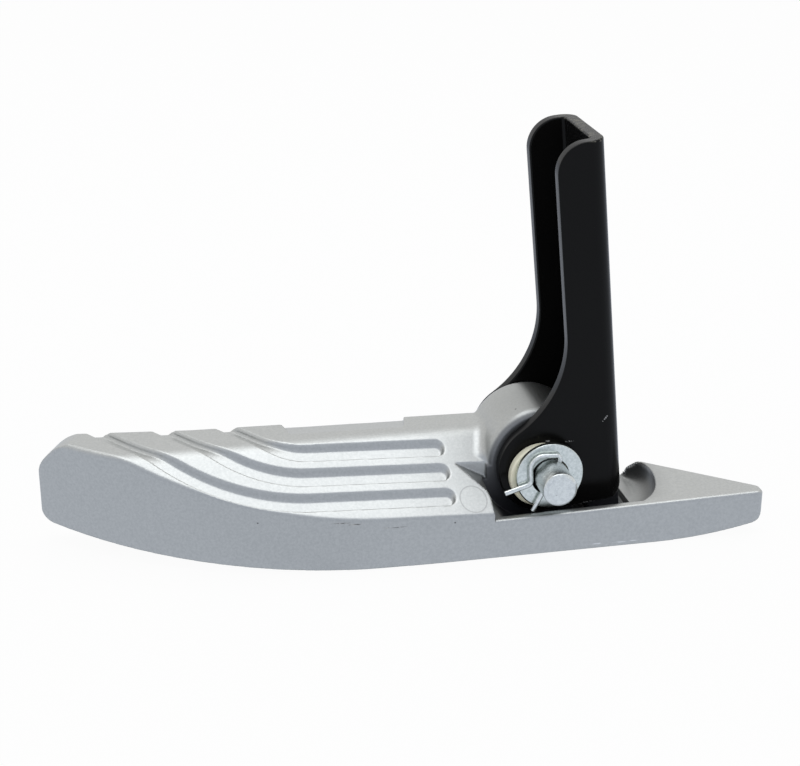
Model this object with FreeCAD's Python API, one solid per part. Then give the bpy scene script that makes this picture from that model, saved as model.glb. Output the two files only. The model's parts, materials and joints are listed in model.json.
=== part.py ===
"""Folding scooter footrest: a die-cast peg hinged by a clevis pin in a pressed steel U bracket.

All sizes are in millimetres. The pieces are drawn about the hinge: X runs from the nose to the
tail, Y along the pin from its clip to its head, Z up, with the origin on the pin axis midway
between the bracket's flanges. At the end everything moves together, so that the part stands on
its base with the origin under the middle of its box.
"""
import FreeCAD
import Part
import math
import os

from FreeCAD import Placement, Rotation, Vector

# Hinge
pin_diameter = 8.0
running_clearance = 0.06
ear_clearance = 0.10
hub_radius = 13.2
hub_half_width = 9.7
hub_edge_break = 1.2
hub_foot_round = 3.0
side_play = 0.3

# Bracket, in its own upright position
sheet = 3.0
inner_bend = 1.0
bracket_lean = 5.4
bracket_top = 76.0
web_reach = 18.9
flange_front = 7.2
flange_top_round = 7.0
flange_sweep = 25.0
ear_radius = 11.1
heel_round = 4.0
mount_hole = 8.5
mount_pitch = 30.0
mount_low = 31.0

# Outline of the casting, seen from above
curve_start = 40.0
curve_radius = 105.0
nose_flare = 2.8
nose_flare_run = 37.0
nose_round = 1.0
tail_reach = 51.6
tail_tip = 3.6
tail_corner = 20.5
tail_round = 1.5

# Side view of the casting
base_depth = 18.0
nose_rocker = 926.0
nose_rocker_start = 20.0
tail_rocker = 113.0
tail_rocker_start = 25.0
deck_height = 6.0
deck_station = 20.0
deck_rise = 1.26
tail_top_depth = 8.3
tail_rise = 1.03
step_front = 13.9
edge_round = 1.2
rim_round = 0.8
nose_toe = 3.0
tail_toe = 3.5

# Tread, the grooved slope on the clip's side, and the deck behind it
tread_drop = 6.8
tread_angle = 31.0
tread_rise = 2.9
crest_round = 8.0
groove_count = 3
groove_width = 3.3
groove_depth = 1.4
groove_inset = 4.7
groove_pitch = 5.9
groove_end = 22.6
groove_exit = 54.0
groove_nose_gap = 16.4
groove_reach_step = 14.2
groove_bend_inset = 53.0
groove_bend_step = 19.0
groove_root_break = 0.5
groove_lip_break = 0.5
far_step_depth = 1.3
far_step_width = 7.0
far_step_start = 26.7
far_step_end = 61.0
far_step_slant = 1.6
bevel_run = 7.2
bevel_angle = 45.0
bevel_turn = 23.5
bevel_ease = 2.0
nose_crown = 8.0

# Recess round the lower end of the bracket
rim_wall = 2.2
clip_room = 0.5
ear_room = 3.6
ramp_start = 20.7
ramp_fall = 30.0
ramp_tilt = 7.3
recess_depth = 15.0
heel_room = 3.5
scoop_radius = 14.9
scoop_x = 12.0
scoop_y = -3.0
scoop_depth = 13.0
scoop_floor_round = 2.0
scoop_edge_round = 2.6
pedestal_back = 8.0
stop_clearance = 0.3
stop_pad_length = 8.0
stop_pad_half_width = 8.0

# Hollow underside
side_wall = 3.2
top_wall = 4.0
hollow_start = 26.0
rib = 2.6
rib_pitch = 24.0
rib_count = 2
rib_recess = 3.0

# Pin, washers and clip
pin_head_diameter = 12.0
pin_head = 3.0
pin_tail = 8.2
pin_chamfer = 0.8
washer_diameter = 16.0
washer_play = 1.0
washer = 1.6
washer_chamfer = 0.25
washer_sag = 0.35
spacer_diameter = 15.2
spacer_play = 3.8
spacer = 2.4
spacer_chamfer = 0.3
spacer_sag = 1.0
spacer_shift = 1.4
stack_play = 0.05
wire = 1.2
wire_clearance = 0.2
clip_gap = 0.1
clip_leg_angle = 63.4
clip_leg_back = 9.4
clip_leg_front = 5.6
clip_shoulder = (1.15, 5.5)
clip_waist = (0.7, -1.55)
clip_tip = (6.9, -3.45)
clip_bends = (1.0, 3.2, 1.2)

# Shared places that follow from the sizes above
pin_radius = pin_diameter / 2
flange_inside = hub_half_width + side_play
flange_outside = flange_inside + sheet
far_reach = hub_half_width
spacer_face = flange_outside + stack_play
washer_face = spacer_face + spacer + stack_play
clip_plane = washer_face + washer + clip_gap + wire / 2
pin_near_end = clip_plane + pin_tail
near_reach = clip_plane + wire / 2 + clip_room + rim_wall
curve_y = curve_radius - near_reach
nose_y = far_reach + nose_flare
nose_x = -curve_start - math.sqrt(curve_radius ** 2 - (curve_y - nose_y) ** 2)
flare_x = nose_x + nose_flare_run
lean = Placement(Vector(0, 0, 0), Rotation(Vector(0, 1, 0), -bracket_lean))
REACH = 300.0
TOUCH = 0.05


def tangent(degrees):
    """Rise over run of an angle in degrees."""
    return math.tan(math.radians(degrees))


def box(x0, x1, y0, y1, z0, z1):
    """A box between two corners."""
    return Part.makeBox(x1 - x0, y1 - y0, z1 - z0, Vector(x0, y0, z0))


def line(start, end):
    """A straight edge."""
    return Part.LineSegment(Vector(*start), Vector(*end)).toShape()


def arc(start, middle, end):
    """A circular edge through three points."""
    return Part.Arc(Vector(*start), Vector(*middle), Vector(*end)).toShape()


def face(edges):
    """A flat face inside a closed run of edges."""
    return Part.Face(Part.Wire(edges))


def prism(flat, direction):
    """A flat face drawn out far to both sides along a direction."""
    block = flat.extrude(direction * 2 * REACH)
    block.translate(direction * -REACH)
    return block


def half_space(point, normal):
    """A large block that fills the side of a plane to which its normal points."""
    block = Part.makeBox(4 * REACH, 4 * REACH, REACH, Vector(-2 * REACH, -2 * REACH, 0))
    block.Placement = Placement(Vector(*point), Rotation(Vector(0, 0, 1), Vector(*normal)))
    return block


def along_pin(radius, y0, y1):
    """A cylinder on the pin axis."""
    return Part.makeCylinder(radius, y1 - y0, Vector(0, y0, 0), Vector(0, 1, 0))


def turned(profile):
    """A solid turned about the pin axis from a closed profile of (radius, y) points."""
    points = [Vector(radius, y, 0) for radius, y in profile]
    polygon = Part.makePolygon(points + points[:1])
    return Part.Face(polygon).revolve(Vector(0, 0, 0), Vector(0, 1, 0), 360)


# Footrest casting

def outline():
    """The casting seen from above: straight clip side, curved nose, diagonal tail."""
    half_turn = math.asin((-curve_start - nose_x) / curve_radius) / 2
    bulge_x = -curve_start - curve_radius * math.sin(half_turn)
    bulge_y = curve_y - curve_radius * math.cos(half_turn)
    tip_near = (tail_reach, -near_reach, 0)
    tip_far = (tail_reach, -near_reach + tail_tip, 0)
    tail_far = (tail_corner, far_reach, 0)
    flare = (flare_x, far_reach, 0)
    nose = (nose_x, nose_y, 0)
    curve = (-curve_start, -near_reach, 0)
    return face([
        line(tip_near, curve),
        arc(curve, (bulge_x, bulge_y, 0), nose),
        line(nose, flare),
        line(flare, tail_far),
        line(tail_far, tip_far),
        line(tip_far, tip_near),
    ])


def upright_block():
    """The outline as a tall prism with its upright corners rounded."""
    block = prism(outline(), Vector(0, 0, 1))
    radii = {"nose": nose_round, "tail": tail_round}
    for end in ("nose", "tail"):
        corners = []
        for edge in block.Edges:
            x = edge.CenterOfMass.x
            at_end = x > 0 if end == "tail" else x < flare_x - TOUCH
            if edge.BoundBox.ZLength > REACH and at_end:
                corners.append(edge)
        block = block.makeFillet(radii[end], corners)
    return block


def deck_z(x):
    """Height of the flat deck."""
    return deck_height - (x + deck_station) * tangent(deck_rise)


def tread_z(x, y):
    """Height of the sloping tread."""
    across = (y + near_reach) * tangent(tread_angle)
    return -tread_drop + across - (x + step_front) * tangent(tread_rise)


def tail_z(x):
    """Height of the tail's top."""
    return -tail_top_depth + x * tangent(tail_rise)


def under_top(drop):
    """Everything below the tread and the deck, both lowered by a drop, with a rounded crest."""
    block = box(-REACH, REACH, -REACH, REACH, -REACH, REACH / 3)
    tread_point = (0, 0, tread_z(0, 0) - drop)
    deck_point = (-deck_station, 0, deck_height - drop)
    block = block.cut(half_space(tread_point, (tangent(tread_rise), -tangent(tread_angle), 1)))
    block = block.cut(half_space(deck_point, (tangent(deck_rise), 0, 1)))
    crest = []
    for edge in block.Edges:
        middle = edge.CenterOfMass
        if abs(middle.x) < REACH / 2 and abs(middle.y) < REACH / 2:
            crest.append(edge)
    return block.makeFillet(crest_round, crest)


def rocker_z(radius, run):
    """Height of a rocker arc a run after its start."""
    return -base_depth + radius - math.sqrt(radius ** 2 - run ** 2)


def toe(start, radius, reach, corner):
    """The end of a rocker: where its corner round begins, the round's middle and its upright end."""
    outward = Vector(math.copysign(1, reach), 0, 0)
    centre = Vector(start, 0, radius - base_depth)
    x = reach - outward.x * corner
    drop = math.sqrt((radius - corner) ** 2 - (x - start) ** 2)
    middle = Vector(x, 0, centre.z - drop)
    downward = (middle - centre).normalize()
    halfway = (downward + outward).normalize()
    return middle + downward * corner, middle + halfway * corner, middle + outward * corner


def above_base():
    """Everything above the base: flat in the middle, rockered to a round toe at each end."""
    nose_reach = upright_block().optimalBoundingBox(False, False).XMin - TOUCH
    nose_start, nose_turn, nose_end = toe(-nose_rocker_start, nose_rocker, nose_reach, nose_toe)
    tail_start, tail_turn, tail_end = toe(tail_rocker_start, tail_rocker, tail_reach, tail_toe)
    flat_front = (-nose_rocker_start, 0, -base_depth)
    flat_back = (tail_rocker_start, 0, -base_depth)
    nose_run = (-nose_rocker_start - nose_start.x) / 2
    tail_run = (tail_start.x - tail_rocker_start) / 2
    nose_mid = (-nose_rocker_start - nose_run, 0, rocker_z(nose_rocker, nose_run))
    tail_mid = (tail_rocker_start + tail_run, 0, rocker_z(tail_rocker, tail_run))
    nose_high = (nose_reach, 0, REACH)
    tail_high = (tail_reach, 0, REACH)
    return prism(face([
        arc(nose_end, nose_turn, nose_start),
        arc(nose_start, nose_mid, flat_front),
        line(flat_front, flat_back),
        arc(flat_back, tail_mid, tail_start),
        arc(tail_start, tail_turn, tail_end),
        line(tail_end, tail_high),
        line(tail_high, nose_high),
        line(nose_high, nose_end),
    ]), Vector(0, 1, 0))


def rim_edges(block, x_low, x_high):
    """The upper edges of a block that run along the outline, between two stations."""
    ring = upright_block().slice(Vector(0, 0, 1), 0)[0]
    chosen = []
    for edge in block.Edges:
        middle = edge.valueAt((edge.FirstParameter + edge.LastParameter) / 2)
        on_ring = ring.distToShape(Part.Vertex(middle.x, middle.y, 0))[0] < TOUCH
        upper = middle.z > -base_depth / 2
        level = edge.BoundBox.ZLength < edge.Length - TOUCH
        if on_ring and upper and level and x_low < middle.x < x_high:
            chosen.append(edge)
    return chosen


def behind_bevel():
    """Everything behind the bevelled nose: eased in from the deck and crowned into the end face."""
    ahead = upright_block()
    ahead.rotate(Vector(0, 0, 0), Vector(0, 0, 1), bevel_turn - 180)
    end = ahead.optimalBoundingBox(False, False).XMax + TOUCH
    turn = math.radians(bevel_turn)
    reach = (end - bevel_run - far_reach * math.sin(turn)) / math.cos(turn)
    start = Vector(end - bevel_run, 0, deck_z(-reach))
    downhill = Vector(math.cos(math.radians(bevel_angle)), 0, -math.sin(math.radians(bevel_angle)))
    knee = start + downhill * bevel_ease
    toe_corner = start + Vector(bevel_run, 0, -bevel_run * tangent(bevel_angle))
    high = Vector(-REACH, 0, knee.z + (knee.x + REACH) * tangent(bevel_angle / 2))
    points = [Vector(-REACH, 0, -REACH), Vector(end, 0, -REACH), toe_corner, knee, high]
    block = prism(Part.Face(Part.makePolygon(points + points[:1])), Vector(0, 1, 0))
    bends = []
    for edge in block.Edges:
        if min(edge.CenterOfMass.distanceToPoint(point) for point in (toe_corner, knee)) < TOUCH:
            bends.append(edge)
    block = block.makeFillet(nose_crown, bends)
    block.rotate(Vector(0, 0, 0), Vector(0, 0, 1), 180 - bevel_turn)
    return block


def peg():
    """The peg in front of the hinge, with its tread, deck and bevelled nose."""
    block = upright_block().common(under_top(0))
    block = block.common(box(-REACH, 0, -REACH, REACH, -REACH, REACH))
    block = block.makeFillet(edge_round, rim_edges(block, -REACH, 0))
    block = block.common(behind_bevel()).common(above_base())
    step = box(-step_front, REACH, -REACH, -hub_half_width, -REACH, REACH)
    return block.cut(step)


def tail():
    """The tail, which carries the recess for the bracket and ends in a low diagonal lip."""
    front = -hollow_start
    back = tail_reach + TOUCH
    side = face([
        line((front, 0, -REACH), (back, 0, -REACH)),
        line((back, 0, -REACH), (back, 0, tail_z(back))),
        line((back, 0, tail_z(back)), (front, 0, tail_z(front))),
        line((front, 0, tail_z(front)), (front, 0, -REACH)),
    ])
    block = upright_block().common(prism(side, Vector(0, 1, 0)))
    block = block.makeFillet(rim_round, rim_edges(block, front + TOUCH, REACH))
    return block.common(above_base())


def ramp_space(back, near_y, far_y):
    """The space over the ramp that leads from the tread down to the near ear."""
    top_y = -hub_half_width + hub_edge_break
    top = (-ramp_start, top_y, tread_z(-ramp_start, top_y))
    space = half_space(top, (tangent(ramp_fall), -tangent(ramp_tilt), 1))
    return space.common(box(-REACH, back, near_y, far_y, -REACH, REACH))


def bracket_space():
    """Room for the bracket: a drum round the near ear, a ramp down to it and a pit behind the hub."""
    near_y = -near_reach + rim_wall
    space = along_pin(ear_radius + ear_room, near_y, -hub_half_width)
    space = space.fuse(ramp_space(0, near_y, -hub_half_width))
    space = space.fuse(box(0, web_reach + heel_room, near_y, REACH, -REACH, REACH))
    return space.common(box(-REACH, REACH, -REACH, REACH, -recess_depth, REACH))


def hub_notch():
    """The end of the ramp, which cuts in beside the hub's foot as far as the hub's broken edge."""
    return ramp_space(-hub_radius - TOUCH, -hub_half_width - TOUCH, -hub_half_width + hub_edge_break)


def scoop_space():
    """The round scoop behind the bracket, with a soft floor corner and a rolled upper edge."""
    top = tail_z(scoop_x + scoop_radius)
    roll = top - scoop_edge_round
    wide = scoop_radius + scoop_edge_round
    floor_round = min(scoop_floor_round, scoop_depth + roll - TOUCH)
    floor_corner = scoop_radius - floor_round
    diagonal = math.sqrt(0.5)
    profile = face([
        line((0, 0, -scoop_depth), (floor_corner, 0, -scoop_depth)),
        arc((floor_corner, 0, -scoop_depth),
            (floor_corner + floor_round * diagonal, 0, -scoop_depth + floor_round * (1 - diagonal)),
            (scoop_radius, 0, -scoop_depth + floor_round)),
        line((scoop_radius, 0, -scoop_depth + floor_round), (scoop_radius, 0, roll)),
        arc((scoop_radius, 0, roll),
            (wide - scoop_edge_round * diagonal, 0, roll + scoop_edge_round * diagonal),
            (wide, 0, top)),
        line((wide, 0, top), (wide, 0, REACH)),
        line((wide, 0, REACH), (0, 0, REACH)),
        line((0, 0, REACH), (0, 0, -scoop_depth)),
    ])
    bowl = profile.revolve(Vector(0, 0, 0), Vector(0, 0, 1), 360)
    bowl.translate(Vector(scoop_x, scoop_y, 0))
    return bowl.common(box(-REACH, REACH, -near_reach + rim_wall, REACH, -REACH, REACH))


def hub():
    """The hinge barrel on its foot."""
    barrel = along_pin(hub_radius, -hub_half_width, hub_half_width)
    barrel = barrel.makeChamfer(hub_edge_break, [edge for edge in barrel.Edges if edge.Closed])
    foot = box(-hub_radius, pedestal_back, -hub_half_width, hub_half_width, -base_depth, 0)
    return barrel.fuse(foot)


def stop_pad():
    """The pad on the recess floor that the lower edge of the bracket's web comes down on."""
    pad_top = -ear_radius - stop_clearance
    pad = box(web_reach - stop_pad_length, web_reach, -stop_pad_half_width, stop_pad_half_width,
              -base_depth, pad_top)
    pad.Placement = lean
    return pad.common(box(-REACH, REACH, -REACH, REACH, -base_depth, REACH))


def groove(row):
    """The space of one groove: straight along the tread, then bent and out over the far edge."""
    y = groove_inset + row * groove_pitch - near_reach
    bend = curve_radius - groove_bend_inset - row * groove_bend_step
    reach = -nose_x - groove_nose_gap - row * groove_reach_step
    turn = math.radians(groove_exit)
    corner = -reach + (far_reach - y) / math.tan(turn)
    bend_start = Vector(corner + bend * math.tan(turn / 2), y, 0)
    centre = bend_start + Vector(0, bend, 0)
    bend_middle = centre + Vector(-math.sin(turn / 2), -math.cos(turn / 2), 0) * bend
    bend_end = centre + Vector(-math.sin(turn), -math.cos(turn), 0) * bend
    run_out = bend_end + Vector(-math.cos(turn), math.sin(turn), 0) * REACH / 4
    path = Part.Wire([
        line((-groove_end - groove_width / 2, y, 0), bend_start),
        arc(bend_start, bend_middle, bend_end),
        line(bend_end, run_out),
    ])
    band = Part.Face(path.makeOffset2D(groove_width / 2))
    return prism(band, Vector(0, 0, 1))


def lies_on(edge, surface):
    """True where an edge runs along a surface."""
    span = edge.LastParameter - edge.FirstParameter
    stations = [edge.valueAt(edge.FirstParameter + span * share) for share in (0.2, 0.5, 0.8)]
    return all(surface.distToShape(Part.Vertex(point))[0] < TOUCH for point in stations)


def cut_groove(body, row):
    """Cuts one groove, with its floor's corners and its lips along the tread broken."""
    space = groove(row)
    walls = Part.Compound(space.Faces)
    space = space.cut(under_top(groove_depth))
    floor = Part.Compound(under_top(groove_depth).Faces)
    space = space.makeChamfer(groove_root_break, [edge for edge in space.Edges if lies_on(edge, floor)])
    body = body.cut(space)
    top = Part.Compound(under_top(0).Faces)
    lips = [edge for edge in body.Edges if lies_on(edge, top) and lies_on(edge, walls)]
    return body.makeChamfer(groove_lip_break, lips)


def far_step():
    """The shallow step in the deck, which falls from nothing to its depth at the far edge."""
    near_y = far_reach - far_step_width
    open_y = 2 * far_reach
    slant = far_step_slant * (open_y - near_y) / far_step_width
    points = [
        Vector(-far_step_start, open_y, 0),
        Vector(-far_step_start - slant, near_y, 0),
        Vector(-far_step_end + slant, near_y, 0),
        Vector(-far_step_end, open_y, 0),
    ]
    space = prism(Part.Face(Part.makePolygon(points + points[:1])), Vector(0, 0, 1))
    fall = far_step_depth / far_step_width
    return space.common(half_space((-deck_station, near_y, deck_height), (tangent(deck_rise), fall, 1)))


def hollow():
    """The space under the peg, with cross ribs and one long rib left standing in it."""
    inset = outline().makeOffset2D(-side_wall)
    space = prism(inset, Vector(0, 0, 1)).common(under_top(top_wall))
    space = space.common(box(-REACH, -hollow_start, -REACH, REACH, -REACH, REACH))
    rib_foot = -base_depth + rib_recess
    for index in range(rib_count):
        x = -hollow_start - (index + 1) * rib_pitch
        space = space.cut(box(x - rib / 2, x + rib / 2, -REACH, REACH, rib_foot, REACH))
    middle = (far_reach - near_reach) / 2
    return space.cut(box(-REACH, REACH, middle - rib / 2, middle + rib / 2, rib_foot, REACH))


def hub_foot_edges(body):
    """The edges where the hub rises out of the tread and the deck, and its rims, which run into them."""
    chosen = []
    for edge in body.Edges:
        middle = edge.valueAt((edge.FirstParameter + edge.LastParameter) / 2)
        on_hub = abs(math.hypot(middle.x, max(middle.z, 0)) - hub_radius) < TOUCH
        inside = abs(middle.y) < hub_half_width - TOUCH
        if on_hub and inside and middle.x < 0 and middle.z > -tread_drop:
            chosen.append(edge)
    return chosen


def footrest_casting():
    """The die-cast footrest as one solid."""
    body = peg().fuse(tail())
    body = body.cut(bracket_space()).cut(scoop_space())
    body = body.fuse(hub()).fuse(stop_pad()).removeSplitter()
    body = body.makeFillet(hub_foot_round, hub_foot_edges(body)).cut(hub_notch())
    body = body.cut(along_pin(pin_radius + running_clearance, -REACH, REACH))
    for row in range(groove_count):
        body = cut_groove(body, row)
    return body.cut(far_step()).cut(hollow()).removeSplitter().Solids[0]


# Bracket

def flange_profile():
    """Side view of the bracket: a shaft that sweeps out into a round ear."""
    sweep_x = flange_front - flange_sweep
    sweep_z = math.sqrt((flange_sweep + ear_radius) ** 2 - sweep_x ** 2)
    toe = math.atan2(sweep_z, sweep_x)
    ear_top = (ear_radius * math.cos(toe), 0, ear_radius * math.sin(toe))
    half = (toe - math.pi) / 2
    sweep_mid = (sweep_x + flange_sweep * math.cos(half), 0, sweep_z + flange_sweep * math.sin(half))
    ear_turn = (toe + 1.5 * math.pi) / 2
    ear_mid = (ear_radius * math.cos(ear_turn), 0, ear_radius * math.sin(ear_turn))
    diagonal = 1 - math.sqrt(0.5)
    top_start = (flange_front, 0, bracket_top - flange_top_round)
    top_mid = (flange_front + flange_top_round * diagonal, 0, bracket_top - flange_top_round * diagonal)
    top_end = (flange_front + flange_top_round, 0, bracket_top)
    heel_start = (web_reach, 0, -ear_radius + heel_round)
    heel_mid = (web_reach - heel_round * diagonal, 0, -ear_radius + heel_round * diagonal)
    heel_end = (web_reach - heel_round, 0, -ear_radius)
    return face([
        line((flange_front, 0, sweep_z), top_start),
        arc(top_start, top_mid, top_end),
        line(top_end, (web_reach, 0, bracket_top)),
        line((web_reach, 0, bracket_top), heel_start),
        arc(heel_start, heel_mid, heel_end),
        line(heel_end, (0, 0, -ear_radius)),
        arc((0, 0, -ear_radius), ear_mid, ear_top),
        arc(ear_top, sweep_mid, (flange_front, 0, sweep_z)),
    ])


def channel_space(reach, half_width, bend):
    """A prism open to the front, with its two back corners rounded by the bend."""
    block = box(-REACH, reach, -half_width, half_width, -REACH, REACH)
    corners = []
    for edge in block.Edges:
        if edge.BoundBox.ZLength > REACH and edge.CenterOfMass.x > 0:
            corners.append(edge)
    return block.makeFillet(bend, corners)


def hinge_bracket():
    """The pressed U channel with its ears and two fixing holes in the web."""
    shell = channel_space(web_reach, flange_outside, sheet + inner_bend)
    shell = shell.cut(channel_space(web_reach - sheet, flange_inside, inner_bend))
    body = prism(flange_profile(), Vector(0, 1, 0)).common(shell)
    body = body.cut(along_pin(pin_radius + ear_clearance, -REACH, REACH))
    for index in range(2):
        height = mount_low + index * mount_pitch
        hole = Part.makeCylinder(mount_hole / 2, REACH, Vector(0, 0, height), Vector(1, 0, 0))
        body = body.cut(hole)
    body.Placement = lean
    return body.Solids[0]


# Pin, washers and clip

def leg_direction():
    """Direction of the clip's leg through the pin."""
    turn = math.radians(clip_leg_angle)
    return Vector(math.cos(turn), 0, math.sin(turn))


def hinge_pin():
    """The clevis pin: headed on the far side, chamfered and cross-drilled at the near end."""
    head_radius = pin_head_diameter / 2
    head_seat = flange_outside + stack_play
    head_end = head_seat + pin_head
    body = turned([
        (0, -pin_near_end),
        (pin_radius - pin_chamfer, -pin_near_end),
        (pin_radius, -pin_near_end + pin_chamfer),
        (pin_radius, head_seat),
        (head_radius, head_seat),
        (head_radius, head_end - pin_chamfer),
        (head_radius - pin_chamfer, head_end),
        (0, head_end),
    ])
    drill = Part.makeCylinder(wire / 2 + wire_clearance, pin_diameter * 2,
                              Vector(0, -clip_plane, 0) - leg_direction() * pin_diameter,
                              leg_direction())
    return body.cut(drill).Solids[0]


def ring(outer, bore, thickness, chamfer, near_face):
    """A flat ring on the pin with chamfered outer edges, from its back face towards the near end."""
    return turned([
        (bore / 2, -near_face),
        (outer / 2 - chamfer, -near_face),
        (outer / 2, -near_face - chamfer),
        (outer / 2, -near_face - thickness + chamfer),
        (outer / 2 - chamfer, -near_face - thickness),
        (bore / 2, -near_face - thickness),
    ])


def plain_washer():
    """The plated steel washer under the clip, hanging on the pin."""
    body = ring(washer_diameter, pin_diameter + washer_play, washer, washer_chamfer, washer_face)
    body.translate(Vector(0, 0, -washer_sag))
    return body


def plastic_spacer():
    """The plastic washer against the flange, hanging a little low on the pin."""
    body = ring(spacer_diameter, pin_diameter + spacer_play, spacer, spacer_chamfer, spacer_face)
    body.translate(Vector(-spacer_shift, 0, -spacer_sag))
    return body


def bent_wire(points, bends):
    """A wire path through points, with an arc of its own radius at each inner point."""
    edges = []
    last = points[0]
    for corner, after, radius in zip(points[1:-1], points[2:], bends):
        back = (last - corner).normalize()
        ahead = (after - corner).normalize()
        half = back.getAngle(ahead) / 2
        setback = radius / math.tan(half)
        start = corner + back * setback
        end = corner + ahead * setback
        inward = (back + ahead).normalize()
        middle = corner + inward * (radius / math.sin(half) - radius)
        edges.append(line(last, start))
        edges.append(arc(start, middle, end))
        last = end
    edges.append(line(last, points[-1]))
    return Part.Wire(edges)


def retaining_clip():
    """The wire clip: a leg through the pin, bent back round it and flared at its free end."""
    direction = leg_direction()
    middle = Vector(0, -clip_plane, 0)
    points = [middle - direction * clip_leg_back, middle + direction * clip_leg_front]
    for ahead, height in (clip_shoulder, clip_waist, clip_tip):
        points.append(Vector(-pin_radius - ahead, -clip_plane, height))
    path = bent_wire(points, clip_bends)
    section = Part.Wire(Part.makeCircle(wire / 2, points[0], direction))
    return path.makePipeShell([section], True, True)


def main():
    nodes = {
        "footrest_casting": footrest_casting(),
        "hinge_bracket": hinge_bracket(),
        "hinge_pin": hinge_pin(),
        "plain_washer": plain_washer(),
        "plastic_spacer": plastic_spacer(),
        "retaining_clip": retaining_clip(),
    }
    whole = Part.Compound(list(nodes.values())).optimalBoundingBox(False, False)
    foot = Vector(-whole.Center.x, -whole.Center.y, -whole.ZMin)
    os.makedirs("parts", exist_ok=True)
    for name, shape in nodes.items():
        shape.translate(foot)
        shape.exportStep("parts/" + name + ".step")
        print(name, shape.ShapeType, shape.isValid(), round(shape.Volume, 1))
    print("pin axis at", foot)


if __name__ == "__main__":
    main()
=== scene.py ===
"""Looks of the folding scooter footrest: silver casting, black bracket, zinc pin and clip.

The frame is that of the solids, in metres: X from the nose to the tail, Y along the hinge pin, Z up
from the base of the casting. Marks and forms are placed in millimetres about the middle of the hinge.
"""
import json
import math

import bpy
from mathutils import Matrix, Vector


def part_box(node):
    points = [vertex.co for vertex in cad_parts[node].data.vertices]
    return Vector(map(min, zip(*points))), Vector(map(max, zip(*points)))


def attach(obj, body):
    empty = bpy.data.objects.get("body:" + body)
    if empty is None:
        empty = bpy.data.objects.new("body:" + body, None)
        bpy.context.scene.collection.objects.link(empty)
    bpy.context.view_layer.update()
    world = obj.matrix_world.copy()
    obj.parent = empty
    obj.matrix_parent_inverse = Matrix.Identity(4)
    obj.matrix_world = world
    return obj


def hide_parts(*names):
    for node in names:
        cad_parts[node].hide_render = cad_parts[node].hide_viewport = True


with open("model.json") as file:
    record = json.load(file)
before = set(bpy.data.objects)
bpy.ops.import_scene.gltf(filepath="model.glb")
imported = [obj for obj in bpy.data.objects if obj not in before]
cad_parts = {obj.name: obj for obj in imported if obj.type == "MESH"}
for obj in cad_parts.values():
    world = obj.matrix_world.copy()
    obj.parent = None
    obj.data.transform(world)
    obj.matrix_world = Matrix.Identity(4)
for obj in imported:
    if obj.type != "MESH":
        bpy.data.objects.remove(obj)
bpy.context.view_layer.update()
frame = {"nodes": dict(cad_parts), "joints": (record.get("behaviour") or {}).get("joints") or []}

# Places and lengths that the looks share
MM = 0.001
ENDLESS = 1000.0
hinge = frame["joints"][0]["pos_m"]
bracket_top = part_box("hinge_bracket")[1][2]
fine_relief = 0.05 * MM

# Photograph
camera_place = (-0.07514, -0.35526, 0.18689)
camera_turn = (67.8, 0.0, -11.8)
camera_lens = 77.13
sensor_width = 36.0

# Colours of the casting, and of the shade painted on it
flake_dark = (0.415, 0.424, 0.417, 1)
flake_light = (0.482, 0.49, 0.48, 1)
scratch_grey = (0.06, 0.06, 0.06, 1)
chip_white = (0.85, 0.86, 0.86, 1)
ring_grey = (0.2, 0.2, 0.2, 1)
# The three greys below are painted shade round the hinge, in the scoop and in the pit, not colours the
# casting has
painted_darkening_grey = (0.22, 0.225, 0.22, 1)
shade_grey = (0.03, 0.03, 0.032, 1)
painted_shade_black = (0.02, 0.02, 0.028, 1)

# Colours of the bracket and of what is on it
gloss_black = (0.005, 0.005, 0.005, 1)
sheared_steel = (0.17, 0.165, 0.145, 1)
worn_steel = (0.42, 0.43, 0.45, 1)
plate_speck = (0.2, 0.21, 0.22, 1)
washer_tones = (0.55, 0.59, 0.565, 1), (0.68, 0.715, 0.685, 1)
pin_tones = (0.60, 0.625, 0.615, 1), (0.71, 0.735, 0.715, 1)
wire_tones = (0.58, 0.61, 0.59, 1), (0.76, 0.78, 0.76, 1)
cream_tones = (0.86, 0.83, 0.64, 1), (0.94, 0.92, 0.78, 1)

# Colours of the surroundings
white = (1, 1, 1, 1)
floor_grey = (0.8, 0.8, 0.8, 1)
floor_mirrored = (0.83, 0.885, 0.99, 1)
front_mirrored = (0.75, 0.80, 0.90, 1)
lamp_colour = (0.94, 0.97, 1.0)

# Marks on the casting, each with its middle and its reach
scratch_marks = [
    ((-49.5, -20.8, -5.6), (2.6, 2.0, 0.16)),
    ((-46.6, -20.9, -6.1), (1.8, 2.0, 0.22)),
    ((-39.3, -21.1, -7.6), (0.8, 2.0, 0.22)),
    ((-36.5, -21.1, -7.7), (2.4, 2.0, 0.10)),
]
speck_marks = [
    ((-68.0, -17.2, -5.3), (0.26, 2.0, 0.22)),
    ((-23.4, -21.1, -7.9), (0.28, 1.0, 0.24)),
    ((-5.36, -5.32, 12.06), (0.32, 0.32, 0.32)),
]
chip_marks = [
    ((10.5, -21.1, -16.9), (3.4, 1.0, 0.25)),
    ((16.0, -21.1, -17.05), (2.4, 1.0, 0.2)),
    ((19.6, -21.1, -17.0), (1.2, 1.0, 0.18)),
]
ring_middle = (-18.2, -17.3, 0)
ring_radius = 3.1

# Marks on the bracket
scuff_marks = [
    ((5.5, -13.0, 6.2), (1.3, 1.0, 0.2)),
    ((0.3, -13.0, 6.7), (0.7, 1.0, 0.35)),
    ((11.4, -13.0, -10.0), (2.4, 1.0, 0.3)),
]
nick_marks = [
    ((14.5, -13.0, 11.75), (0.2, 1.0, 0.24)),
    ((14.2, -13.0, 11.4), (0.24, 1.0, 0.28)),
    ((13.9, -13.0, 11.05), (0.2, 1.0, 0.24)),
    ((13.5, -13.0, 10.55), (0.12, 1.0, 0.16)),
]

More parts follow.
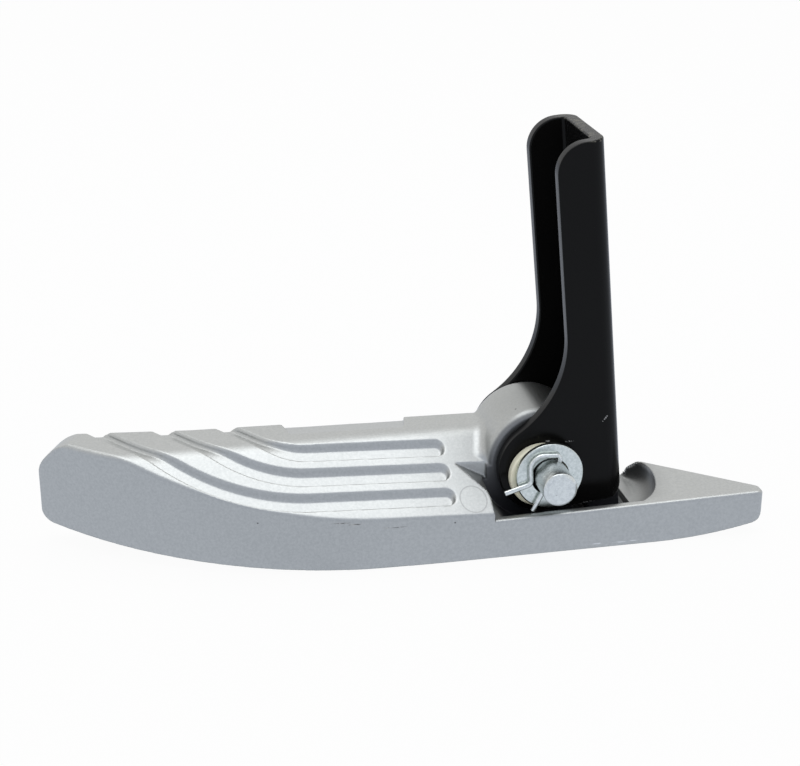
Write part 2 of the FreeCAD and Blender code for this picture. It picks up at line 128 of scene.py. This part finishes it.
# Scoop behind the bracket
scoop_x = 12
scoop_y = -3
scoop_floor = -13.05
scoop_wall = 5.45
scoop_over = 7.0
scoop_rings = 32
scoop_sides = 120
scoop_near_end = -18.9
scoop_front_end = 21.5
bowl_neck = 12.8
bowl_round = 4.9
bowl_level = -8.15
bowl_flare = 1.3
flare_turns = (10.0, 60.0)
foot_neck = 15.1
foot_round = 0.7
foot_level = -12.35
roll_reach = 1.9
roll_level = -12.3
roll_height = 4.4
far_turns = (-5.0, 40.0)
far_side_normal = (0.659, 0.753)
far_side_point = (22.0, 8.4)

# Meshes
seam_gap = 0.002 * MM
skin_depth = 9
skin_passes = 3
skin_triangles = 160000
flat_angle = 0.5
sharp_angle = 35

# Surroundings
floor_size = 8.0
floor_drop = 0.2 * MM
floor_share = 0.95
glow_for_all = 0.65
glow_when_seen = 0.35
front_begins = 0.2
front_full = -0.5


def at(x, y, z):
    """A place in the frame, from millimetres about the middle of the hinge."""
    return tuple(start + offset * MM for start, offset in zip(hinge, (x, y, z)))


def station(axis, offset):
    """A place along one axis, from millimetres about the middle of the hinge."""
    return hinge["XYZ".index(axis)] + offset * MM


class Socket:
    """A shader socket that takes part in sums written in Python."""

    def __init__(self, finish, link):
        self.finish = finish
        self.link = link

    def sum(self, operation, *values):
        return self.finish.node("ShaderNodeMath", {"operation": operation}, dict(enumerate(values)))

    def __add__(self, other):
        return self.sum("ADD", self, other)

    def __sub__(self, other):
        return self.sum("SUBTRACT", self, other)

    def __rsub__(self, other):
        return self.sum("SUBTRACT", other, self)

    def __mul__(self, other):
        return self.sum("MULTIPLY", self, other)

    def __or__(self, other):
        return self.sum("MAXIMUM", self, other)

    def __abs__(self):
        return self.sum("ABSOLUTE", self)

    __radd__ = __add__
    __rmul__ = __mul__


class Finish:
    """The node tree of one material or of the world."""

    def __init__(self, owner):
        self.owner = owner
        owner.use_nodes = True
        self.tree = owner.node_tree
        self.tree.nodes.clear()

    def node(self, kind, settings, inputs, output=0):
        """Adds a node, makes its settings, fills its sockets and gives back one of its outputs."""
        made = self.tree.nodes.new(kind)
        for name, value in settings.items():
            setattr(made, name, value)
        for name, value in inputs.items():
            if isinstance(value, Socket):
                self.tree.links.new(value.link, made.inputs[name])
            else:
                made.inputs[name].default_value = value
        return Socket(self, made.outputs[output]) if made.outputs else None

    def place(self):
        return self.node("ShaderNodeTexCoord", {}, {}, "Object")

    def axis(self, name):
        return self.node("ShaderNodeSeparateXYZ", {}, {"Vector": self.place()}, name)

    def vector(self, operation, first, second):
        return self.node("ShaderNodeVectorMath", {"operation": operation}, {0: first, 1: second})

    def stretched(self, x, y, z):
        """The place with its axes scaled, for features that run along one of them."""
        return self.vector("MULTIPLY", self.place(), (x, y, z))

    def noise(self, scale, detail=2.0, place=None):
        """Noise from 0 to 1, with its scale in features per metre."""
        inputs = {"Vector": place or self.place(), "Scale": scale, "Detail": detail}
        return self.node("ShaderNodeTexNoise", {}, inputs, "Fac")

    def ramp(self, value, low, high):
        """A smooth step from 0 at low to 1 at high."""
        settings = {"interpolation_type": "SMOOTHSTEP"}
        inputs = {"Value": value, "From Min": low, "From Max": high}
        return self.node("ShaderNodeMapRange", settings, inputs)

    def rise(self, axis, low, high):
        """A smooth step between two stations of an axis, in millimetres from the hinge."""
        return self.ramp(self.axis(axis), station(axis, low), station(axis, high))

    def band(self, axis, low, high, soft):
        """1 between two stations of an axis, with soft ends, in millimetres from the hinge."""
        value = self.axis(axis)
        start = station(axis, low)
        end = station(axis, high)
        reach = soft * MM
        return self.ramp(value, start - reach, start + reach) * self.ramp(value, end + reach, end - reach)

    def away(self, middle, reach):
        """Distance from a place, counted in reaches of so many millimetres along each axis."""
        offset = self.vector("SUBTRACT", self.place(), at(*middle))
        share = self.vector("DIVIDE", offset, tuple(length * MM for length in reach))
        return self.node("ShaderNodeVectorMath", {"operation": "LENGTH"}, {0: share}, "Value")

    def spots(self, marks):
        """1 in each of some small marks, given by their middles and reaches."""
        covered = None
        for middle, reach in marks:
            mark = self.ramp(self.away(middle, reach), 1.0, 0.5)
            covered = covered | mark if covered else mark
        return covered

    def blend(self, factor, first, second):
        """A colour between two others."""
        settings = {"data_type": "RGBA"}
        return self.node("ShaderNodeMix", settings, {"Factor": factor, 6: first, 7: second}, 2)

    def bump(self, height, strength):
        """Fine relief, seen only in the way that light falls on it."""
        inputs = {"Height": height, "Strength": strength, "Distance": fine_relief}
        return self.node("ShaderNodeBump", {}, inputs)

    def ray(self, kind):
        """1 on rays of a kind, such as those that the camera sends out."""
        return self.node("ShaderNodeLightPath", {}, {}, kind)

    def surface(self, **sockets):
        """The shader itself. Socket names are written with underscores."""
        inputs = {name.replace("_", " "): value for name, value in sockets.items()}
        shader = self.node("ShaderNodeBsdfPrincipled", {}, inputs)
        self.node("ShaderNodeOutputMaterial", {}, {"Surface": shader})
        return self.owner


def new_finish(name):
    return Finish(bpy.data.materials.new(name))


# Finishes

def hinge_painted_darkening(paint):
    """1 in the painted shade round the lower end of the bracket, which stays off the near wall."""
    darkening = paint.ramp(paint.away((10, -2, 0), (24.0, 30.0, 24.0)), 1.05, 0.6)
    return darkening * paint.rise("Y", -19.5, -17)


def scoop_shade(paint):
    """1 on the scoop's wall, where painted shade stands in for the black bracket's dark reflection; it
    stays off the rim and the far diagonal side of the tail.
    """
    shade = paint.ramp(paint.away((scoop_x, scoop_y, 0), (17.5, 17.5, ENDLESS)), 0.7, 0.95)
    shade = shade * paint.rise("Z", -8.3, -9.2)
    shade = shade * paint.band("X", 22.5, 30, 0.5)
    shade = shade * paint.rise("Y", -20, -14)
    normal_x, normal_y = far_side_normal
    side_x, side_y = far_side_point
    across = paint.axis("X") * normal_x + paint.axis("Y") * normal_y
    far_side = station("X", side_x) * normal_x + station("Y", side_y) * normal_y
    return shade * paint.ramp(across, far_side - 0.1 * MM, far_side - 0.5 * MM)


def hinge_painted_shade(paint):
    """How deep the painted shade is in the pit under the bracket and on the drum beside the barrel, darker
    towards the bottom of the drum.
    """
    pit = paint.band("Z", -15.3, -9.5, 1.5) * paint.band("Y", -18.7, 9.3, 0.2)
    pit = pit * paint.band("X", -16, 22.2, 0.2) * 0.85
    drum = paint.ramp(paint.away((0, 0, 0), (14.8, ENDLESS, 14.8)), 1.0, 0.97)
    drum = drum * paint.band("Y", -18.6, -8.9, 0.4)
    drum = drum * (0.9 - paint.rise("Z", -10, 10) * 0.4)
    return pit | drum


def silver_paint():
    """Satin silver paint with fine flake over a die casting, with its witness ring, specks and scratch, and
    with painted shade round the hinge, in the scoop and in the pit under the bracket.
    """
    paint = new_finish("silver_paint")
    cloud = paint.noise(60.0, 3.0)
    flake = paint.noise(3600.0)
    speckle = paint.ramp(flake * 0.4 + paint.noise(1700.0) * 0.6, 0.3, 0.7)
    colour = paint.blend(speckle, flake_dark, flake_light)

    ragged = paint.ramp(paint.noise(2500.0, 3.0, paint.stretched(0.3, 1.0, 1.0)), 0.4, 0.55)
    scratch = paint.spots(scratch_marks)
    dark_marks = scratch * ragged * 0.75 | paint.spots(speck_marks) * 0.85
    colour = paint.blend(dark_marks, colour, scratch_grey)
    colour = paint.blend(paint.spots(chip_marks) * ragged * 0.5, colour, chip_white)

    ring_away = paint.away(ring_middle, (ring_radius, ring_radius, ENDLESS))
    ring = paint.ramp(abs(ring_away - 1.0), 0.07, 0.02) * paint.band("Z", -12, 0, 0.5)
    colour = paint.blend(ring * 0.45, colour, ring_grey)

    # Painted shade round the lower end of the bracket, where the bracket shades the casting
    colour = paint.blend(hinge_painted_darkening(paint) * 0.75, colour, painted_darkening_grey)
    # Painted shade on the scoop's wall, standing in for the black bracket's dark reflection there
    colour = paint.blend(scoop_shade(paint) * 0.55, colour, shade_grey)
    # Painted shade in the pit under the bracket and on the drum, nearly black; it also makes those places
    # rougher
    painted_shade = hinge_painted_shade(paint)
    colour = paint.blend(painted_shade, colour, painted_shade_black)

    grain = flake * 0.5 + paint.noise(1100.0) * 0.5 - ring * 0.6
    return paint.surface(
        Base_Color=colour,
        Metallic=0.96 - scratch * 0.5,
        Roughness=0.33 + cloud * 0.08 + flake * 0.06 + painted_shade * 0.25,
        Normal=paint.bump(grain, 0.16),
    )


def black_paint():
    """Gloss black paint over pressed steel, with a bare sheared top edge, a nick and scuffs."""
    paint = new_finish("black_paint")
    peel = paint.noise(650.0)
    dust = paint.noise(180.0, 4.0)

    grit = paint.ramp(paint.noise(1600.0, 4.0, paint.stretched(0.3, 1.0, 1.0)), 0.5, 0.64)
    top = paint.ramp(paint.axis("Z"), bracket_top - 0.9 * MM, bracket_top - 0.3 * MM)
    sheared = top * paint.rise("X", 7.0, 8.8) * grit
    ragged = paint.ramp(paint.noise(2600.0, 3.0), 0.46, 0.54)
    worn = paint.spots(scuff_marks) * ragged | paint.spots(nick_marks)
    colour = paint.blend(sheared, gloss_black, sheared_steel)
    colour = paint.blend(worn * 0.8, colour, worn_steel)
    return paint.surface(
        Base_Color=colour,
        Roughness=0.13 + peel * 0.06 + dust * 0.08 + sheared * 0.4,
        Specular_IOR_Level=0.1,
        Normal=paint.bump(peel + sheared * 2.0, 0.2),
    )


def zinc_plate(name, dark, light):
    """Bright zinc plate, mottled and specked."""
    plate = new_finish(name)
    mottle = plate.noise(1500.0, 4.0)
    specks = plate.ramp(plate.noise(2200.0), 0.7, 0.76)
    colour = plate.blend(plate.ramp(mottle, 0.3, 0.7), dark, light)
    colour = plate.blend(specks * 0.6, colour, plate_speck)
    return plate.surface(
        Base_Color=colour,
        Metallic=1.0,
        Roughness=0.16 + mottle * 0.16,
        Normal=plate.bump(mottle, 0.18),
    )


def cream_plastic():
    """Natural cream plastic."""
    plastic = new_finish("cream_plastic")
    cloud = plastic.noise(300.0, 3.0)
    return plastic.surface(
        Base_Color=plastic.blend(cloud, *cream_tones),
        Roughness=0.38 + cloud * 0.1,
    )


# Pieces

def picked(piece):
    """Makes a piece the one that the next steps work on."""
    bpy.ops.object.select_all(action="DESELECT")
    bpy.context.view_layer.objects.active = piece
    piece.select_set(True)


def linked(name, data):
    """A new object of the scene."""
    made = bpy.data.objects.new(name, data)
    bpy.context.scene.collection.objects.link(made)
    return made


def applied(piece, name, kind, **settings):
    """Gives a piece a modifier and applies it at once."""
    modifier = piece.modifiers.new(name, kind)
    for setting, value in settings.items():
        setattr(modifier, setting, value)
    bpy.ops.object.modifier_apply(modifier=name)


def joined_copy(node):
    """A copy of a solid with the seams of its facets joined."""
    piece = linked(node + "_finished", frame["nodes"][node].data.copy())
    picked(piece)
    bpy.ops.object.mode_set(mode="EDIT")
    bpy.ops.mesh.select_all(action="SELECT")
    bpy.ops.mesh.remove_doubles(threshold=seam_gap)
    bpy.ops.object.mode_set(mode="OBJECT")
    return piece


def smooth_step(value, low, high):
    """0 below low, 1 above high and a soft rise between."""
    share = min(max((value - low) / (high - low), 0.0), 1.0)
    return share * share * (3.0 - 2.0 * share)


def arc_reach(radius, offset):
    """Half the chord of a circle at a distance from its middle, or 0 outside it."""
    return math.sqrt(max(radius ** 2 - offset ** 2, 0.0))


def scoop_reach(turn, height):
    """The scoop's radius at a height: a plain bowl on the near side, a rolled edge on the far side."""
    bowl = bowl_neck + arc_reach(bowl_round, min(height - bowl_level, 0.0))
    bowl = bowl + bowl_flare * smooth_step(-turn, *flare_turns)
    foot = foot_neck + arc_reach(foot_round, min(height - foot_level, 0.0))
    climb = min(max((height - roll_level) / roll_height, 0.0), 1.0)
    roll = roll_reach * (1.0 - arc_reach(1.0, climb))
    far = smooth_step(turn, *far_turns)
    return bowl * (1.0 - far) + (foot + roll) * far


def scoop_cutter():
    """The space of the scoop, from its floor to well over the tail."""
    heights = [scoop_floor + scoop_wall * ring / scoop_rings for ring in range(scoop_rings + 1)]
    heights.append(scoop_over)
    turns = [360.0 / scoop_sides * side - 180.0 for side in range(scoop_sides)]
    corners = []
    for height in heights:
        for turn in turns:
            reach = scoop_reach(turn, height)
            angle = math.radians(turn)
            corners.append(at(scoop_x + reach * math.cos(angle), scoop_y + reach * math.sin(angle), height))
    bottom = list(range(scoop_sides))
    top = [len(corners) - scoop_sides + side for side in bottom]
    faces = [bottom[::-1], top]
    for ring in range(len(heights) - 1):
        for side in bottom:
            first = ring * scoop_sides + side
            second = ring * scoop_sides + (side + 1) % scoop_sides
            faces.append([first, second, second + scoop_sides, first + scoop_sides])
    mesh = bpy.data.meshes.new("scoop_cutter")
    mesh.from_pydata(corners, [], faces)
    return linked("scoop_cutter", mesh)


def open_scoop(piece):
    """Widens the scoop behind the bracket until it opens through the far side of the tail."""
    cutter = scoop_cutter()
    picked(cutter)
    bpy.ops.object.mode_set(mode="EDIT")
    ends = (at(0, scoop_near_end, 0), (0, -1, 0)), (at(scoop_front_end, 0, 0), (-1, 0, 0))
    for plane, normal in ends:
        bpy.ops.mesh.select_all(action="SELECT")
        bpy.ops.mesh.bisect(plane_co=plane, plane_no=normal, use_fill=True, clear_outer=True)
    bpy.ops.object.mode_set(mode="OBJECT")
    picked(piece)
    applied(piece, "scoop", "BOOLEAN", operation="DIFFERENCE", solver="EXACT", object=cutter)
    bpy.data.objects.remove(cutter)


def cast_skin(piece):
    """Covers a casting with an even skin, which softens its edges as the mould and the paint do."""
    applied(piece, "skin", "REMESH", mode="SHARP", octree_depth=skin_depth, scale=0.99,
            use_remove_disconnected=False)
    applied(piece, "soften", "SMOOTH", factor=0.5, iterations=skin_passes)
    applied(piece, "fewer", "DECIMATE", ratio=skin_triangles / (2 * len(piece.data.polygons)))
    bpy.ops.object.shade_smooth()


def broken_edges(piece, width):
    """Joins the facets of flat faces and rounds the sharp edges between them."""
    bpy.ops.object.mode_set(mode="EDIT")
    bpy.ops.mesh.select_all(action="SELECT")
    bpy.ops.mesh.dissolve_limited(angle_limit=math.radians(flat_angle))
    bpy.ops.object.mode_set(mode="OBJECT")
    bpy.ops.object.shade_smooth()
    applied(piece, "edges", "BEVEL", width=width, segments=3, limit_method="ANGLE",
            angle_limit=math.radians(sharp_angle), use_clamp_overlap=False)
    applied(piece, "normals", "WEIGHTED_NORMAL", mode="FACE_AREA", weight=50)


def dress(piece, node, body, material):
    """Paints a piece and puts it in the place of its solid."""
    piece.data.materials.clear()
    piece.data.materials.append(material)
    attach(piece, body)
    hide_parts(node)


casting = joined_copy("footrest_casting")
open_scoop(casting)
cast_skin(casting)
dress(casting, "footrest_casting", "footrest", silver_paint())

# Slot, finish and width of the broken edges in millimetres
bracket_pieces = {
    "hinge_bracket": ("black_paint", black_paint(), 0.42),
    "hinge_pin": ("zinc_pin", zinc_plate("zinc_pin", *pin_tones), 0.12),
    "plain_washer": ("zinc_washer", zinc_plate("zinc_washer", *washer_tones), 0.1),
    "plastic_spacer": ("cream_plastic", cream_plastic(), 0.15),
    "retaining_clip": ("zinc_wire", zinc_plate("zinc_wire", *wire_tones), 0.08),
}
for node, (slot, material, width) in bracket_pieces.items():
    piece = joined_copy(node)
    broken_edges(piece, width * MM)
    dress(piece, node, "bracket", material)


# Floor, light and camera

def pale_floor():
    """A pale floor that the camera sees as white, with the object's shadow left on it."""
    finish = new_finish("pale_floor")
    mirrored = finish.ray("Is Glossy Ray")
    share = (finish.ray("Is Camera Ray") + mirrored + finish.ray("Is Transmission Ray")) * floor_share
    matt = finish.node("ShaderNodeBsdfDiffuse", {}, {"Color": floor_grey})
    shown = finish.blend(mirrored, white, floor_mirrored)
    lit = finish.node("ShaderNodeEmission", {}, {"Color": shown, "Strength": 1.0})
    seen = finish.node("ShaderNodeMixShader", {}, {0: share, 1: matt, 2: lit})
    finish.node("ShaderNodeOutputMaterial", {}, {"Surface": seen})
    return finish.owner


bpy.ops.object.select_all(action="DESELECT")
bpy.ops.mesh.primitive_plane_add(size=floor_size, location=(0, 0, -floor_drop))
floor = bpy.context.object
floor.name = "floor"
floor.data.materials.append(pale_floor())


def softbox(name, place, target, width, height, radiance, colour):
    """A soft lamp with an even face, aimed at a point."""
    lamp = bpy.data.lights.new(name, "AREA")
    lamp.shape = "RECTANGLE"
    lamp.color = colour
    lamp.size = width
    lamp.size_y = height
    lamp.energy = radiance * math.pi * width * height
    holder = linked(name, lamp)
    holder.location = place
    aim = [goal - start for goal, start in zip(target, place)]
    holder.rotation_euler = Vector(aim).to_track_quat("-Z", "Y").to_euler()


softbox("overhead_lamp", place=(0.05, 0.13, 0.9), target=(0, 0, 0), width=0.9, height=0.7,
        radiance=1.7, colour=lamp_colour)

world = bpy.data.worlds.new("studio")
bpy.context.scene.world = world
studio = Finish(world)
mirrored = studio.ray("Is Glossy Ray")
straight = studio.ray("Is Camera Ray") + mirrored + studio.ray("Is Transmission Ray")
direction = studio.node("ShaderNodeTexCoord", {}, {}, "Generated")
forward = studio.node("ShaderNodeSeparateXYZ", {}, {"Vector": direction}, "Y")
ahead = studio.ramp(forward, front_begins, front_full)
tint = studio.blend(ahead * mirrored, white, front_mirrored)
strength = glow_for_all + straight * glow_when_seen
glow = studio.node("ShaderNodeBackground", {}, {"Color": tint, "Strength": strength})
studio.node("ShaderNodeOutputWorld", {}, {"Surface": glow})

camera = linked("camera", bpy.data.cameras.new("camera"))
camera.location = camera_place
camera.rotation_euler = [math.radians(turn) for turn in camera_turn]
camera.data.lens = camera_lens
camera.data.sensor_width = sensor_width
bpy.context.scene.camera = camera
bpy.context.scene.view_settings.view_transform = "Standard"
